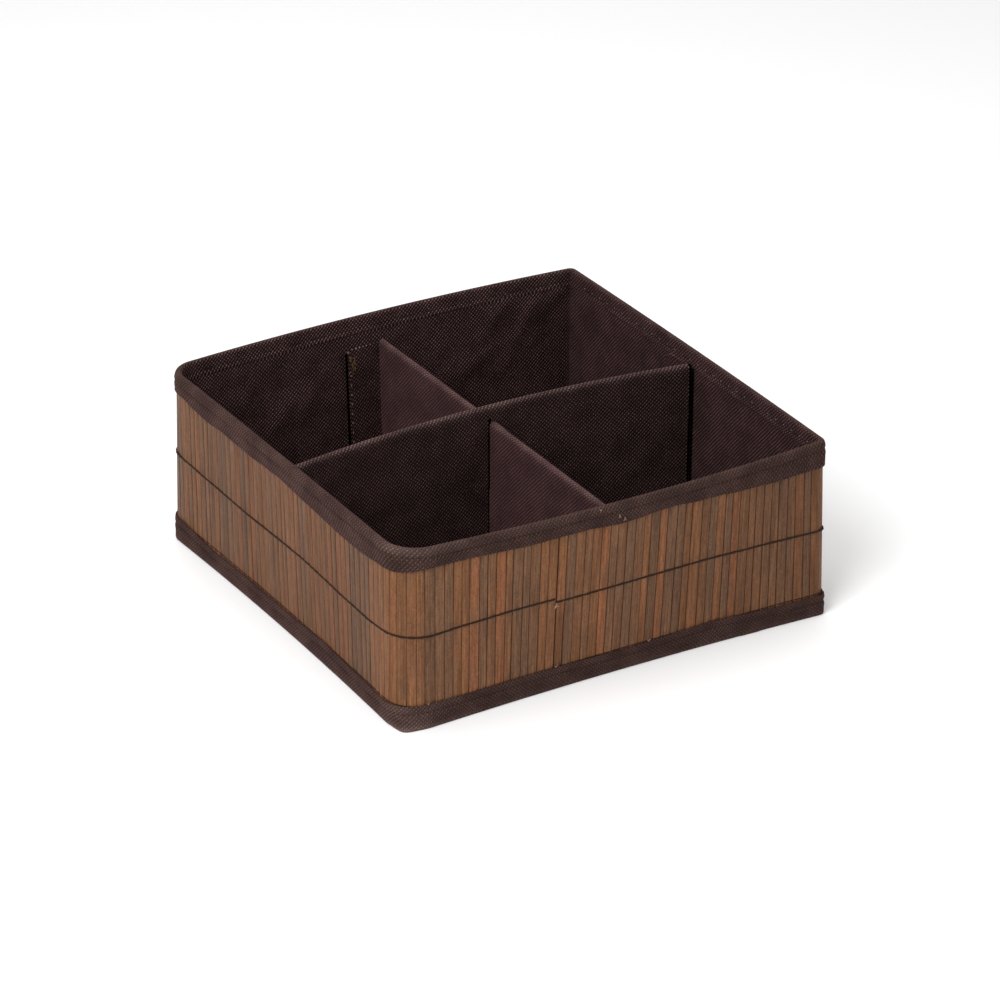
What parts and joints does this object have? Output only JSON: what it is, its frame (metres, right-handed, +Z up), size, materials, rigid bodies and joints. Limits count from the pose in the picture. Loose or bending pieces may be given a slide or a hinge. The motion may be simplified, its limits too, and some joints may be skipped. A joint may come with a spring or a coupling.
{
  "type": "storage organizer",
  "caption": "Square open-top drawer organizer of upright bamboo slats with fabric bindings and lining, and crossed fabric-covered dividers that make equal compartments.",
  "frame": {"origin": "middle of the underside, on the surface that the box stands on", "axes": "+Z up, -Y out of the front wall, +X to the right"},
  "size_m": [0.3242, 0.3356, 0.1277],
  "materials": {
    "bamboo": "stained, satin",
    "thread": "twisted cotton",
    "binding_tape": "woven tape",
    "lining_cloth": "fine woven twill",
    "divider_cloth": "fine woven twill",
    "board": "plain grey card"
  },
  "bodies": {
    "shell": {"wall_board_front": "board", "wall_board_right": "board", "wall_board_back": "board", "wall_board_left": "board", "lining_front": "lining_cloth", "lining_right": "lining_cloth", "lining_back": "lining_cloth", "lining_left": "lining_cloth", "slat_mat_front": "bamboo", "slat_mat_front_near_end": "bamboo", "slat_mat_right": "bamboo", "slat_mat_back": "bamboo", "slat_mat_left": "bamboo", "mat_thread_middle": "thread", "mat_thread_lower": "thread", "top_binding": "binding_tape", "bottom_binding": "binding_tape", "bottom_panel": "lining_cloth"},
    "base_insert": {"base_board": "board", "base_cover": "lining_cloth"},
    "cross_divider": {"cross_divider_board": "board", "cross_divider_cover": "divider_cloth", "cross_divider_back_flap": "divider_cloth", "cross_divider_front_flap": "divider_cloth"},
    "long_divider": {"long_divider_board": "board", "long_divider_cover": "divider_cloth", "long_divider_right_flap": "divider_cloth", "long_divider_left_flap": "divider_cloth"}
  },
  "joints": [
    {"name": "base_lift", "type": "slide", "parent": "shell", "child": "base_insert", "axis": [0, 0, 1], "range_m": [0, 0.13]},
    {"name": "cross_lift", "type": "slide", "parent": "base_insert", "child": "cross_divider", "axis": [0, 0, 1], "range_m": [0, 0.13]},
    {"name": "long_lift", "type": "slide", "parent": "cross_divider", "child": "long_divider", "axis": [0, 0, 1], "range_m": [0, 0.13]}
  ]
}
